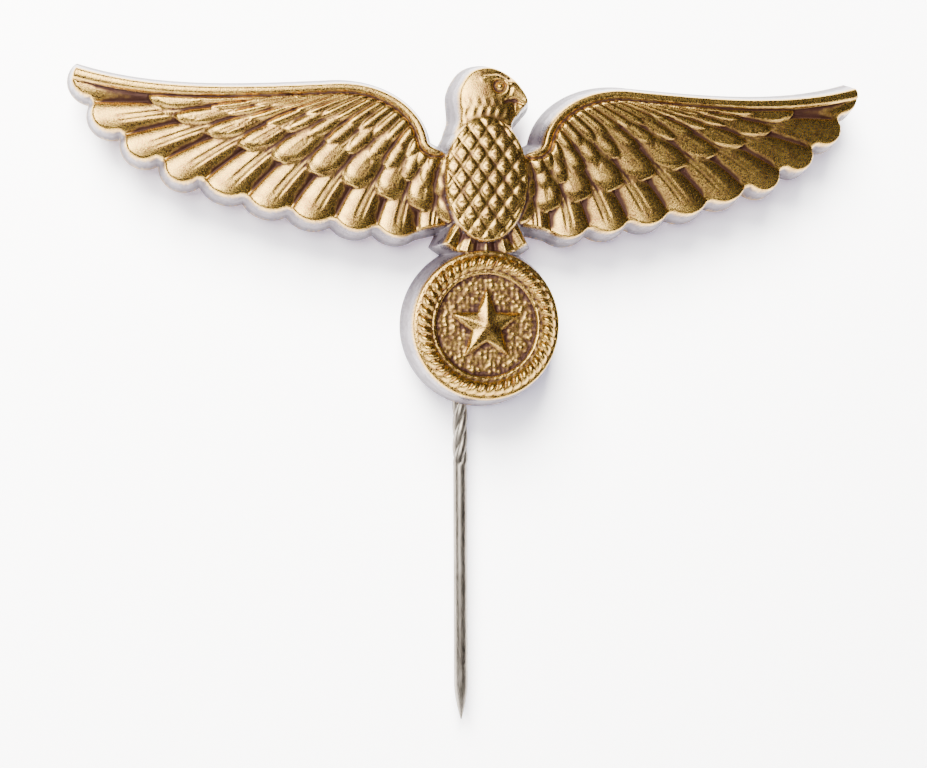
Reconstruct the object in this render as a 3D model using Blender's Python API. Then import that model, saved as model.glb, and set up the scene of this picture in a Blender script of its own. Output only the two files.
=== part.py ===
"""Cap badge on a stick pin: a bird with spread wings above a round medallion.

One sheet of brass is pressed into a hollow shell with sloping side walls.
A disc soldered into the back of the medallion carries a pin with a spiral shank.

The badge stands upright in its own frame: +Z up, its face towards -Y, +X to the
viewer's right. The plane y = 0 is the plane of the shell's back rim, and the
origin is the medallion's centre on that plane.
"""

import math

import bmesh
import bpy
from mathutils import Matrix, Vector

MM = 0.001

# Overall sizes, in millimetres.
WINGSPAN = 65.0
CROWN_HEIGHT = 21.1
WING_TIP_HEIGHT = 20.4
WING_UNDERSIDE = 6.9

# The pressed sheet. A wall slopes inwards by DRAFT over the height of its part.
SHEET = 0.5
DRAFT = 0.8
WING_DEPTH = 3.2
TAIL_DEPTH = 3.4
HEAD_DEPTH = 3.7
MEDALLION_DEPTH = 3.8
BREAST_DEPTH = 4.1

# Wings: a curved leading edge, and feather tips along the trailing edge.
SHOULDER_X = 4.0
SHOULDER_HEIGHT = 14.8
WRIST_X = 12.5
WRIST_HEIGHT = 19.6
WING_TIPS = 9
OUTER_TIPS = 4
OUTER_TIP_BULGE = 0.33
INNER_TIP_BULGE = 0.20
COVERT_TIPS = 7
COVERT_RISE = 0.35
COVERT_DRAFT = 0.3
COVERT_EDGE_INSET = 1.4

# Body, tail and medallion.
BREAST_HEIGHT = 11.6
BREAST_HALF_WIDTH = 4.0
BREAST_HALF_HEIGHT = 5.6
TAIL_CENTRE_HEIGHT = 11.4
TAIL_RADIUS = 6.6
TAIL_HALF_ANGLE = math.radians(40.0)
MEDALLION_RADIUS = 6.6
FIELD_RADIUS = 4.5
FIELD_SINK = 0.7
STAR_RADIUS = 3.3
STAR_WAIST = 0.42
STAR_RISE = 0.5

# Backing disc, set into the back of the medallion, and the solder round its edge.
JOINT_GAP = 0.2
DISC_THICKNESS = 0.6
RIM_SOLDER_WIDTH = 0.45
RIM_SOLDER_CROWN = 0.1
RIM_SOLDER_SWEEP = math.radians(250.0)

# Stick pin.
PIN_X = -1.5
PIN_DIAMETER = 1.15
PIN_TOP = 1.8
PIN_TIP = -32.7
TWIST_TOP = -1.6
TWIST_BOTTOM = -11.6
TWIST_PITCH = 5.2
TWIST_STARTS = 3
TWIST_GROOVE = 0.16
POINT_LENGTH = 3.2
POINT_RADIUS = 0.05

# Solder mound that holds the pin to the disc.
MOUND_HALF_WIDTH = 1.8
MOUND_HALF_HEIGHT = 2.3
MOUND_COVER = 0.4

ARC_STEPS = 7
CURVE_STEPS = 12
CIRCLE_STEPS = 72
OVERCUT = 1.0
SETTLE_ROUNDS = 4
WELD = 0.0001


def clear_scene():
    """Removes everything the file opened with."""
    for thing in list(bpy.data.objects):
        bpy.data.objects.remove(thing, do_unlink=True)
    for mesh in list(bpy.data.meshes):
        bpy.data.meshes.remove(mesh)


def make_collection(name):
    """Returns a new collection, linked to the scene."""
    group = bpy.data.collections.new(name)
    bpy.context.scene.collection.children.link(group)
    return group


def make_material(name, colour, metallic, roughness):
    """Returns a Principled material with the given colour and finish."""
    material = bpy.data.materials.new(name)
    material.use_nodes = True
    shader = material.node_tree.nodes["Principled BSDF"]
    shader.inputs["Base Color"].default_value = (*colour, 1.0)
    shader.inputs["Metallic"].default_value = metallic
    shader.inputs["Roughness"].default_value = roughness
    material.diffuse_color = (*colour, 1.0)
    return material


def add_object(name, bm, group, material=None):
    """Turns a bmesh, drawn in millimetres, into an object in metres."""
    if bm.calc_volume(signed=True) < 0:
        bmesh.ops.reverse_faces(bm, faces=bm.faces)
    bmesh.ops.transform(bm, matrix=Matrix.Scale(MM, 4), verts=bm.verts)
    mesh = bpy.data.meshes.new(name)
    bm.to_mesh(mesh)
    bm.free()
    thing = bpy.data.objects.new(name, mesh)
    group.objects.link(thing)
    if material:
        mesh.materials.append(material)
    return thing


# Outlines. Each one is a list of (x, z) points, in millimetres, in a ring.


def bezier(corners, steps):
    """Points along a cubic curve, without its last point."""
    start, out, back, end = (Vector(corner) for corner in corners)
    points = []
    for step in range(steps):
        t = step / steps
        s = 1.0 - t
        points.append(s**3 * start + 3 * s * s * t * out + 3 * s * t * t * back + t**3 * end)
    return points


def bulge(start, end, share, steps):
    """Points on an arc from start to end that stands out to the left by a share of its chord."""
    chord = end - start
    rise = share * chord.length
    radius = (chord.length**2 / 4 + rise**2) / (2 * rise)
    across = chord.normalized()
    outward = Vector((-across.y, across.x))
    centre = (start + end) / 2 + outward * (rise - radius)
    half = math.asin(min(1.0, chord.length / 2 / radius))
    points = []
    for step in range(steps):
        turn = -half + 2 * half * step / steps
        points.append(centre + radius * (math.sin(turn) * across + math.cos(turn) * outward))
    return points


def ellipse(centre_height, half_width, half_height, steps=CIRCLE_STEPS):
    """Points round an upright ellipse on the badge's middle line."""
    points = []
    for step in range(steps):
        turn = 2 * math.pi * step / steps
        points.append(Vector((half_width * math.cos(turn), centre_height + half_height * math.sin(turn))))
    return points


def closed_spline(corners, steps):
    """Points on a smooth ring through the given corners."""
    ring = [Vector(corner) for corner in corners]
    points = []
    for index, here in enumerate(ring):
        before = ring[index - 1]
        ahead = ring[(index + 1) % len(ring)]
        beyond = ring[(index + 2) % len(ring)]
        out = here + (ahead - before) / 6
        back = ahead - (beyond - here) / 6
        points.extend(bezier((here, out, back, ahead), steps))
    return points


def spaced(points, count):
    """Points at even steps of length along a line of points, both ends included."""
    lengths = [(after - here).length for here, after in zip(points, points[1:])]
    total = sum(lengths)
    even = [points[0]]
    walked = 0.0
    for here, after, length in zip(points, points[1:], lengths):
        while len(even) < count and walked + length >= total * len(even) / count:
            share = (total * len(even) / count - walked) / length
            even.append(here.lerp(after, share))
        walked += length
    return even + [points[-1]]


def shifted(points, distance):
    """An open line moved to its right, as seen along it."""
    moved = []
    for index, here in enumerate(points):
        before = points[max(index - 1, 0)]
        after = points[min(index + 1, len(points) - 1)]
        along = (after - before).normalized()
        moved.append(here + distance * Vector((along.y, -along.x)))
    return moved


def feather_edge(curve, tips, outer_tips):
    """A scalloped edge along a cubic curve: one arc for each feather tip."""
    line = bezier(curve, 8 * tips) + [Vector(curve[-1])]
    notches = spaced(line, tips)
    points = []
    for tip in range(tips):
        share = OUTER_TIP_BULGE if tip < outer_tips else INNER_TIP_BULGE
        points.extend(bulge(notches[tip], notches[tip + 1], share, ARC_STEPS))
    points.append(notches[-1])
    return points


def wing_curves(half_span):
    """The wing's leading edge, in two curves, and the line of notches of its trailing edge."""
    reach = half_span - WRIST_X
    rise = WING_TIP_HEIGHT - WRIST_HEIGHT
    drop = WRIST_HEIGHT - WING_UNDERSIDE
    inner = (
        (SHOULDER_X, SHOULDER_HEIGHT),
        (SHOULDER_X + 0.5, SHOULDER_HEIGHT + 3.0),
        (WRIST_X - 4.5, WRIST_HEIGHT + 0.5),
        (WRIST_X, WRIST_HEIGHT),
    )
    outer = (
        (WRIST_X, WRIST_HEIGHT),
        (WRIST_X + 0.35 * reach, WRIST_HEIGHT - 0.5),
        (WRIST_X + 0.65 * reach, WRIST_HEIGHT - 0.9),
        (half_span - 1.5, WRIST_HEIGHT + rise),
    )
    trailing = (
        (half_span - 1.5, WRIST_HEIGHT + rise),
        (half_span - 0.9, WING_UNDERSIDE + 0.60 * drop),
        (WRIST_X + 0.40 * reach, WING_UNDERSIDE + 0.10 * drop),
        (SHOULDER_X + 1.4, WING_UNDERSIDE),
    )
    return inner, outer, trailing


def wing_outline():
    """The right wing, from inside the breast round its leading and trailing edges."""
    inner, outer, trailing = wing_curves(WINGSPAN / 2)
    points = [Vector((1.0, SHOULDER_HEIGHT - 1.5))]
    points += bezier(inner, CURVE_STEPS)
    points += bezier(outer, CURVE_STEPS)
    points += feather_edge(trailing, WING_TIPS, OUTER_TIPS)
    points.append(Vector((1.0, WING_UNDERSIDE + 1.0)))
    overshoot = max(point.x for point in points) - WINGSPAN / 2
    for point in points:
        share = max(0.0, (point.x - WRIST_X) / (WINGSPAN / 2 - WRIST_X))
        point.x -= overshoot * share
    return points


def covert_outline():
    """The raised inner half of the wing: short feathers along its leading edge."""
    inner, outer, trailing = wing_curves(WINGSPAN / 2)
    lead = bezier(inner, CURVE_STEPS) + bezier(outer, CURVE_STEPS)[: CURVE_STEPS // 2]
    lead = shifted(lead, COVERT_EDGE_INSET)
    end = lead[-1]
    line = (
        tuple(end),
        (end.x - 1.0, end.y - 5.5),
        (WRIST_X + 1.0, WING_UNDERSIDE + 4.0),
        (SHOULDER_X + 1.0, WING_UNDERSIDE + 2.5),
    )
    points = [Vector((2.0, SHOULDER_HEIGHT - 1.5))]
    points += lead[:-1]
    points += feather_edge(line, COVERT_TIPS, 0)
    points.append(Vector((2.0, WING_UNDERSIDE + 3.0)))
    return points


def tail_outline():
    """A short fan of tail feathers that opens downwards onto the medallion."""
    centre = Vector((0.0, TAIL_CENTRE_HEIGHT))
    points = [Vector((1.5, BREAST_HEIGHT))]
    for step in range(CURVE_STEPS + 1):
        turn = TAIL_HALF_ANGLE * (1.0 - 2.0 * step / CURVE_STEPS)
        points.append(centre + TAIL_RADIUS * Vector((math.sin(turn), -math.cos(turn))))
    points.append(Vector((-1.5, BREAST_HEIGHT)))
    return points


def head_outline():
    """Neck and head, turned to the right, with a short hooked beak."""
    top = CROWN_HEIGHT
    corners = (
        (-2.9, top - 6.4),
        (-2.7, top - 4.6),
        (-2.75, top - 2.4),
        (-1.6, top - 0.55),
        (0.3, top),
        (2.1, top - 0.6),
        (3.4, top - 1.8),
        (4.1, top - 3.3),
        (3.3, top - 4.5),
        (2.75, top - 5.2),
        (2.9, top - 6.4),
        (0.0, top - 8.0),
    )
    return closed_spline(corners, 4)


def star_outline(radius):
    """A plain five-pointed star, one point up."""
    points = []
    for corner in range(10):
        turn = math.pi / 2 + corner * math.pi / 5
        reach = radius if corner % 2 == 0 else radius * STAR_WAIST
        points.append(reach * Vector((math.cos(turn), math.sin(turn))))
    return points


def clockwise(points):
    """The same ring, in clockwise order."""
    area = sum(a.x * b.y - b.x * a.y for a, b in zip(points, points[1:] + points[:1]))
    return list(reversed(points)) if area > 0 else list(points)


def inset(points, distance):
    """A ring moved inwards by a distance, corner for corner. The ring is clockwise."""
    moved = []
    for index, here in enumerate(points):
        edge_in = (here - points[index - 1]).normalized()
        edge_out = (points[(index + 1) % len(points)] - here).normalized()
        normal_in = Vector((edge_in.y, -edge_in.x))
        normal_out = Vector((edge_out.y, -edge_out.x))
        middle = (normal_in + normal_out).normalized()
        stretch = max(middle.dot(normal_in), 0.45)
        moved.append(here + middle * distance / stretch)
    for _ in range(SETTLE_ROUNDS):
        settle(points, moved)
    return moved


def settle(points, moved):
    """Draws each run of moved edges that turned back on itself to one corner, in place."""
    count = len(points)
    backward = []
    for index in range(count):
        after = (index + 1) % count
        backward.append((moved[after] - moved[index]).dot(points[after] - points[index]) < 0.0)
    first = next((index for index in range(count) if not backward[index]), 0)
    run = []
    for step in range(count + 1):
        index = (first + step) % count
        if backward[index] and step < count:
            run.append(index)
            continue
        if run:
            corners = run + [(run[-1] + 1) % count]
            meeting = crossing(moved, corners[0], corners[-1])
            for corner in corners:
                moved[corner] = meeting.copy()
        run = []


def crossing(ring, start, end):
    """Where the edge that comes into one corner, drawn on, meets the edge that leaves another."""
    count = len(ring)
    into = ring[start] - ring[start - 1]
    away = ring[(end + 1) % count] - ring[end]
    square = into.x * away.y - into.y * away.x
    if abs(square) < 1e-9:
        return (ring[start] + ring[end]) / 2
    gap = ring[end] - ring[start]
    share = (gap.x * away.y - gap.y * away.x) / square
    meeting = ring[start] + into * share
    middle = (ring[start] + ring[end]) / 2
    return meeting if (meeting - middle).length < (ring[start] - ring[end]).length * 2 else middle


# Solids drawn in the badge's plane and raised towards its face.


def loft(rings):
    """A closed bmesh through rings of equal count, with a flat cap on each end."""
    bm = bmesh.new()
    loops = [[bm.verts.new(point) for point in ring] for ring in rings]
    count = len(rings[0])
    for low, high in zip(loops, loops[1:]):
        for index in range(count):
            after = (index + 1) % count
            bm.faces.new((low[index], low[after], high[after], high[index]))
    bm.faces.new(reversed(loops[0]))
    bm.faces.new(loops[-1])
    bmesh.ops.remove_doubles(bm, verts=bm.verts, dist=WELD)
    return bm


def raise_solid(name, outline, layers, group):
    """Raises an outline towards the badge's face, through layers of (depth, inset)."""
    ring = clockwise(outline)
    rings = []
    for depth, narrow in layers:
        rings.append([(point.x, -depth, point.y) for point in inset(ring, narrow)])
    return add_object(name, loft(rings), group)


def mirrored(outline):
    """An outline on the other side of the badge's middle line."""
    return [Vector((-point.x, point.y)) for point in outline]


def combine(target, tool, operation):
    """Adds an exact Boolean of one object with another."""
    boolean = target.modifiers.new(f"{operation.lower()} {tool.name}", "BOOLEAN")
    boolean.operation = operation
    boolean.solver = "EXACT"
    boolean.object = tool


def hide_cutter(thing):
    """Marks an object as a guide, so that it is never a part."""
    thing.hide_render = True
    thing.display_type = "WIRE"


# The badge's pieces.


def shell_regions():
    """Each region of the shell: name, outline, the outline of its hollow, depth, front sink."""
    wing = wing_outline()
    breast = ellipse(BREAST_HEIGHT, BREAST_HALF_WIDTH, BREAST_HALF_HEIGHT)
    medallion = ellipse(0.0, MEDALLION_RADIUS, MEDALLION_RADIUS)
    head_space = ellipse(CROWN_HEIGHT - 3.6, 2.7, 3.6, CIRCLE_STEPS // 2)
    tail_space = ellipse(TAIL_CENTRE_HEIGHT - 4.0, 3.0, 2.6, CIRCLE_STEPS // 2)
    return (
        ("breast", breast, breast, BREAST_DEPTH, 0.0),
        ("right_wing", wing, wing, WING_DEPTH, 0.0),
        ("left_wing", mirrored(wing), mirrored(wing), WING_DEPTH, 0.0),
        ("tail", tail_outline(), tail_space, TAIL_DEPTH, 0.0),
        ("head", head_outline(), head_space, HEAD_DEPTH, 0.0),
        ("medallion", medallion, medallion, MEDALLION_DEPTH, FIELD_SINK),
    )


def make_shell(group, cutters, brass):
    """The pressed shell: sloping walls, open at the back, one sheet thick."""
    shell = None
    hollows = []
    for name, outline, space, depth, sink in shell_regions():
        solid = raise_solid(f"{name}_press", outline, ((0.0, 0.0), (depth, DRAFT)), cutters)
        inner_depth = depth - sink - SHEET
        slope = DRAFT * inner_depth / depth
        layers = ((-OVERCUT, SHEET), (0.0, SHEET), (inner_depth, SHEET + slope))
        hollows.append(raise_solid(f"{name}_hollow", space, layers, cutters))
        hide_cutter(solid)
        hide_cutter(hollows[-1])
        if shell is None:
            shell = raise_solid("badge_shell", outline, ((0.0, 0.0), (depth, DRAFT)), group)
            shell.data.materials.append(brass)
        else:
            combine(shell, solid, "UNION")
    for outline, side in ((covert_outline(), "right"), (mirrored(covert_outline()), "left")):
        layers = ((WING_DEPTH - SHEET / 2, 0.0), (WING_DEPTH + COVERT_RISE, COVERT_DRAFT))
        coverts = raise_solid(f"{side}_coverts", outline, layers, cutters)
        hide_cutter(coverts)
        combine(shell, coverts, "UNION")
    field = raise_solid(
        "medallion_field",
        ellipse(0.0, FIELD_RADIUS, FIELD_RADIUS),
        ((MEDALLION_DEPTH - FIELD_SINK, 0.0), (MEDALLION_DEPTH + OVERCUT, 0.0)),
        cutters,
    )
    hide_cutter(field)
    combine(shell, field, "DIFFERENCE")
    field_depth = MEDALLION_DEPTH - FIELD_SINK
    star = raise_solid(
        "star",
        star_outline(STAR_RADIUS),
        ((field_depth - SHEET / 2, 0.0), (field_depth + STAR_RISE, 0.2)),
        cutters,
    )
    hide_cutter(star)
    combine(shell, star, "UNION")
    for hollow in hollows:
        combine(shell, hollow, "DIFFERENCE")
    return shell


def turned_ring(name, profile, start, sweep, group, material):
    """A solid of revolution about the medallion's axis, over part of a turn."""
    steps = max(6, round(CIRCLE_STEPS * sweep / (2 * math.pi)))
    rings = []
    for step in range(steps + 1):
        turn = start + sweep * step / steps
        rings.append([(r * math.cos(turn), y, r * math.sin(turn)) for r, y in profile])
    return add_object(name, loft(rings), group, material)


def disc_radius():
    """The disc fits the medallion's hollow with the solder and its joints around it."""
    wall = MEDALLION_RADIUS - SHEET - DRAFT * DISC_THICKNESS / MEDALLION_DEPTH
    return wall - 2 * JOINT_GAP - RIM_SOLDER_WIDTH


def make_disc(group, brass):
    """The disc that closes the back of the medallion and carries the pin."""
    edge = ellipse(0.0, disc_radius(), disc_radius())
    disc = raise_solid("backing_disc", edge, ((0.0, 0.0), (DISC_THICKNESS, 0.0)), group)
    disc.data.materials.append(brass)
    return disc


def make_rim_solder(group, solder):
    """The bead of solder between the disc's edge and the shell's wall."""
    inner = disc_radius() + JOINT_GAP
    outer = inner + RIM_SOLDER_WIDTH
    crown = ((inner + outer) / 2, RIM_SOLDER_CROWN)
    profile = ((inner, 0.0), crown, (outer, 0.0), (outer, -DISC_THICKNESS), (inner, -DISC_THICKNESS))
    start = -math.pi / 2 - RIM_SOLDER_SWEEP / 2
    return turned_ring("rim_solder", profile, start, RIM_SOLDER_SWEEP, group, solder)


def pin_centre_y():
    """The pin lies on the disc's back face."""
    return JOINT_GAP + PIN_DIAMETER / 2


def pin_section(height):
    """The pin's outline at one height: round, fluted in the spiral shank, drawn to a point."""
    full = PIN_DIAMETER / 2
    above_tip = height - PIN_TIP
    if above_tip < POINT_LENGTH:
        full = POINT_RADIUS + (full - POINT_RADIUS) * math.sin(math.pi / 2 * above_tip / POINT_LENGTH)
    fade = min(TWIST_TOP - height, height - TWIST_BOTTOM, 1.0)
    groove = TWIST_GROOVE * max(0.0, fade)
    twisted = min(max(height, TWIST_BOTTOM), TWIST_TOP) - TWIST_BOTTOM
    ring = []
    steps = 6 * TWIST_STARTS
    for step in range(steps):
        turn = 2 * math.pi * step / steps
        wave = math.cos(TWIST_STARTS * turn)
        radius = full - groove * (0.5 - 0.5 * wave)
        around = turn + 2 * math.pi * twisted / TWIST_PITCH
        ring.append((PIN_X + radius * math.cos(around), pin_centre_y() + radius * math.sin(around), height))
    return ring


def make_pin(group, steel):
    """The stick pin, with its spiral shank and its ground point."""
    heights = [PIN_TIP + POINT_LENGTH * (step / 6) ** 1.5 for step in range(7)]
    heights.append(TWIST_BOTTOM)
    turns = math.ceil((TWIST_TOP - TWIST_BOTTOM) / TWIST_PITCH * 14)
    for step in range(1, turns + 1):
        heights.append(TWIST_BOTTOM + (TWIST_TOP - TWIST_BOTTOM) * step / turns)
    heights.append(PIN_TOP)
    rings = [pin_section(height) for height in heights]
    return add_object("pin", loft(rings), group, steel)


def make_mound(group, cutters, solder):
    """The mound of solder over the pin's top end, with the pin's bed cut out of it."""
    bm = bmesh.new()
    bmesh.ops.create_uvsphere(bm, u_segments=32, v_segments=16, radius=1.0)
    height = JOINT_GAP + PIN_DIAMETER + MOUND_COVER
    stretch = Matrix.Diagonal((MOUND_HALF_WIDTH, height, MOUND_HALF_HEIGHT, 1.0))
    seat = JOINT_GAP
    place = Matrix.Translation((PIN_X, seat, PIN_TOP - MOUND_HALF_HEIGHT / 2))
    bmesh.ops.transform(bm, matrix=place @ stretch, verts=bm.verts)
    cut = bmesh.ops.bisect_plane(
        bm,
        geom=[*bm.verts, *bm.edges, *bm.faces],
        plane_co=(0.0, seat, 0.0),
        plane_no=(0.0, -1.0, 0.0),
        clear_outer=True,
    )
    rim = [item for item in cut["geom_cut"] if isinstance(item, bmesh.types.BMEdge)]
    bmesh.ops.contextual_create(bm, geom=rim)
    mound = add_object("pin_solder", bm, group, solder)
    bed = loft([bed_section(height) for height in (PIN_TIP, PIN_TOP + JOINT_GAP)])
    cutter = add_object("pin_bed", bed, cutters)
    hide_cutter(cutter)
    combine(mound, cutter, "DIFFERENCE")
    return mound


def bed_section(height):
    """The pin's bed: a channel as wide as the pin and its joints, open to the disc."""
    radius = PIN_DIAMETER / 2 + JOINT_GAP
    ring = []
    for step in range(13):
        turn = math.pi * step / 12
        ring.append((PIN_X + radius * math.cos(turn), pin_centre_y() + radius * math.sin(turn), height))
    ring.append((PIN_X - radius, -OVERCUT, height))
    ring.append((PIN_X + radius, -OVERCUT, height))
    return ring


def main():
    """Builds the badge."""
    clear_scene()
    badge = make_collection("cap_badge")
    cutters = make_collection("cutters")
    brass = make_material("aged_brass", (0.42, 0.28, 0.10), 1.0, 0.38)
    dull_brass = make_material("dull_brass", (0.36, 0.25, 0.11), 1.0, 0.52)
    steel = make_material("nickel_steel", (0.46, 0.44, 0.40), 1.0, 0.33)
    solder = make_material("solder", (0.40, 0.40, 0.41), 1.0, 0.48)
    make_shell(badge, cutters, brass)
    make_disc(badge, dull_brass)
    make_rim_solder(badge, solder)
    make_pin(badge, steel)
    make_mound(badge, cutters, solder)


main()
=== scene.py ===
import math
from collections import namedtuple

import bmesh
import bpy
import numpy as np
from mathutils import Matrix, Vector, kdtree
from mathutils.geometry import delaunay_2d_cdt


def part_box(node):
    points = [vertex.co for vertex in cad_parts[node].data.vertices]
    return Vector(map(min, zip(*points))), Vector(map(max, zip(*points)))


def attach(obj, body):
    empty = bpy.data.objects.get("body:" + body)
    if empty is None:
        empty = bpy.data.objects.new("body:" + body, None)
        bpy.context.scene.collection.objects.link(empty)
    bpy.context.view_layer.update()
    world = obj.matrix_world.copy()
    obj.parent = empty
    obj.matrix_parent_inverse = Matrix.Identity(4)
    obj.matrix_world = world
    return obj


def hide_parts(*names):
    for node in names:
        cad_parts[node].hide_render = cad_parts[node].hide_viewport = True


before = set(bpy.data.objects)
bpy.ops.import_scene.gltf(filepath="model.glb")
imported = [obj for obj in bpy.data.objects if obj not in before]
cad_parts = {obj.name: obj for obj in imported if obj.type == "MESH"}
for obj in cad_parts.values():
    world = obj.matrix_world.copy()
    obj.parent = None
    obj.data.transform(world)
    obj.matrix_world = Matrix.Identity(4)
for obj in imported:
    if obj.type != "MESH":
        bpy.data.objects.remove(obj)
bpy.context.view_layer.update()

# The badge stands upright: +Z up, its face towards -Y, the wings along X. Sizes
# below are in millimetres, and y = 0 is the plane of the shell's back rim.

MM = 0.001

SHELL_LOW, SHELL_HIGH = (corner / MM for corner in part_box("badge_shell"))
DISC_LOW, DISC_HIGH = (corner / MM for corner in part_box("backing_disc"))
PIN_LOW, PIN_HIGH = (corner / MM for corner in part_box("pin"))
SOLDER_LOW, SOLDER_HIGH = (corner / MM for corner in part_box("pin_solder"))
RING_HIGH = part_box("rim_solder")[1] / MM

HALF_SPAN = SHELL_HIGH.x
CROWN = SHELL_HIGH.z
MEDALLION_RADIUS = -SHELL_LOW.z

SHEET = 0.5
DRAFT = 0.8
EDGE_ROUNDING = 0.30

FINE_SPACING = 0.122
COARSE_SPACING = 0.26
OUTLINE_SPACING = 0.12

# Outlines


def bezier(corners, steps):
    """Points along a cubic curve, without its last point."""
    start, out, back, end = (np.array(corner, float) for corner in corners)
    t = np.arange(steps)[:, None] / steps
    s = 1.0 - t
    return s**3 * start + 3 * s * s * t * out + 3 * s * t * t * back + t**3 * end


def spaced(line, count):
    """Points at even steps of length along a line, both ends included."""
    steps = np.linalg.norm(np.diff(line, axis=0), axis=1)
    walked = np.concatenate(([0.0], np.cumsum(steps)))
    even = np.linspace(0.0, walked[-1], count + 1)
    return np.stack([np.interp(even, walked, line[:, axis]) for axis in range(2)], axis=1)


def respaced_ring(ring, spacing):
    """A ring with its points at an even spacing."""
    closed = np.vstack([ring, ring[:1]])
    length = np.linalg.norm(np.diff(closed, axis=0), axis=1).sum()
    return spaced(closed, max(12, round(length / spacing)))[:-1]


def bulge(start, end, share, steps):
    """Points on an arc from start to end that stands out to the left by a share of its chord."""
    chord = end - start
    length = np.linalg.norm(chord)
    rise = share * length
    radius = (length**2 / 4 + rise**2) / (2 * rise)
    across = chord / length
    outward = np.array([-across[1], across[0]])
    centre = (start + end) / 2 + outward * (rise - radius)
    half = math.asin(min(1.0, length / 2 / radius))
    turn = -half + 2 * half * np.arange(steps)[:, None] / steps
    return centre + radius * (np.sin(turn) * across + np.cos(turn) * outward)


SHOULDER = (4.0, 14.8)
WRIST = (12.5, 19.6)
WING_END = 32.5
WING_TIP = (31.0, WRIST[1] + 0.8)
UNDERSIDE = 6.9
WING_TIPS = 9
OUTER_TIPS = 4
OUTER_BULGE = 0.33
INNER_BULGE = 0.20


def stretched(points, amount):
    """Points moved outwards beyond the wrist, by the given amount at the wing's tip."""
    share = np.maximum(0.0, (points[:, 0] - WRIST[0]) / (HALF_SPAN - WRIST[0]))
    return np.stack([points[:, 0] + amount * share, points[:, 1]], axis=1)


def wing_curves():
    """The wing's leading edge, in two curves, and the line of notches of its trailing edge."""
    (x, z), (root_x, root_z) = WRIST, SHOULDER
    reach = WING_END - x
    drop = z - UNDERSIDE
    inner = (SHOULDER, (root_x + 0.5, root_z + 3.0), (x - 4.5, z + 0.5), WRIST)
    outer = (WRIST, (x + 0.35 * reach, z - 0.5), (x + 0.65 * reach, z - 0.9), WING_TIP)
    bottom = (x + 0.40 * reach, UNDERSIDE + 0.10 * drop)
    trailing = (WING_TIP, (31.6, UNDERSIDE + 0.60 * drop), bottom, (root_x + 1.4, UNDERSIDE))
    return inner, outer, trailing


def notch_line():
    """The line of notches between the long feathers' tips, from the wing's tip to its root."""
    trailing = wing_curves()[2]
    return np.vstack([bezier(trailing, 120), trailing[3]])


def wing_outline():
    """The right wing, from inside the breast round its leading and trailing edges."""
    inner, outer, _ = wing_curves()
    notches = spaced(notch_line(), WING_TIPS)
    runs = [np.array([[1.0, SHOULDER[1] - 1.5]]), bezier(inner, 40), bezier(outer, 60)]
    for tip in range(WING_TIPS):
        share = OUTER_BULGE if tip < OUTER_TIPS else INNER_BULGE
        runs.append(bulge(notches[tip], notches[tip + 1], share, 24))
    runs.append(notches[-1:])
    runs.append(np.array([[1.0, UNDERSIDE + 1.0]]))
    return np.vstack(runs)


def tip_stretch():
    """How far the wing's tip is drawn out to reach the shell's full span."""
    return HALF_SPAN - wing_outline()[:, 0].max()


def ellipse(centre, half_width, half_height, steps):
    """Points round an upright ellipse."""
    turn = 2 * np.pi * np.arange(steps) / steps
    across = centre[0] + half_width * np.cos(turn)
    up = centre[1] + half_height * np.sin(turn)
    return np.stack([across, up], axis=1)


def closed_spline(corners, steps):
    """Points on a smooth ring through the given corners."""
    ring = np.array(corners, float)
    runs = []
    for index, here in enumerate(ring):
        ahead = ring[(index + 1) % len(ring)]
        out = here + (ahead - ring[index - 1]) / 6
        back = ahead - (ring[(index + 2) % len(ring)] - here) / 6
        runs.append(bezier((here, out, back, ahead), steps))
    return np.vstack(runs)


def head_outline():
    """Neck and head, turned to the right, with a short hooked beak."""
    corners = (
        (-2.9, -6.4), (-2.7, -4.6), (-2.75, -2.4), (-1.6, -0.55), (0.3, 0.0), (2.1, -0.6),
        (3.4, -1.8), (4.1, -3.3), (3.3, -4.5), (2.75, -5.2), (2.9, -6.4), (0.0, -8.0),
    )
    return closed_spline(np.array(corners) + [0.0, CROWN], 12)


TAIL_CENTRE = (0.0, 11.4)
TAIL_RADIUS = 6.6
TAIL_HALF_ANGLE = math.radians(40.0)
TAIL_FEATHERS = 5
BREAST_CENTRE = (0.0, 11.6)
BREAST_HALF = (4.0, 5.6)


def tail_outline():
    """A short fan of tail feathers that opens downwards onto the medallion."""
    turn = np.linspace(TAIL_HALF_ANGLE, -TAIL_HALF_ANGLE, 40)
    up = TAIL_CENTRE[1] - TAIL_RADIUS * np.cos(turn)
    arc = np.stack([TAIL_RADIUS * np.sin(turn), up], axis=1)
    return np.vstack([[[1.5, BREAST_CENTRE[1]]], arc, [[-1.5, BREAST_CENTRE[1]]]])


def star_outline(radius, waist):
    """A plain five-pointed star, one point up."""
    turn = np.pi / 2 + np.arange(10) * np.pi / 5
    reach = np.where(np.arange(10) % 2 == 0, radius, radius * waist)
    return np.stack([reach * np.cos(turn), reach * np.sin(turn)], axis=1)


# Fields of height


def counter_clockwise(ring):
    """The same ring, in counter-clockwise order."""
    after = np.roll(ring, -1, axis=0)
    area = (ring[:, 0] * after[:, 1] - after[:, 0] * ring[:, 1]).sum()
    return ring if area > 0 else ring[::-1]


def divided(ring, longest):
    """A ring with extra points along its long sides."""
    runs = []
    for start, end in zip(ring, np.roll(ring, -1, axis=0)):
        count = max(1, math.ceil(np.linalg.norm(end - start) / longest))
        runs.append(start + (end - start) * np.arange(count)[:, None] / count)
    return np.vstack(runs)


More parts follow.
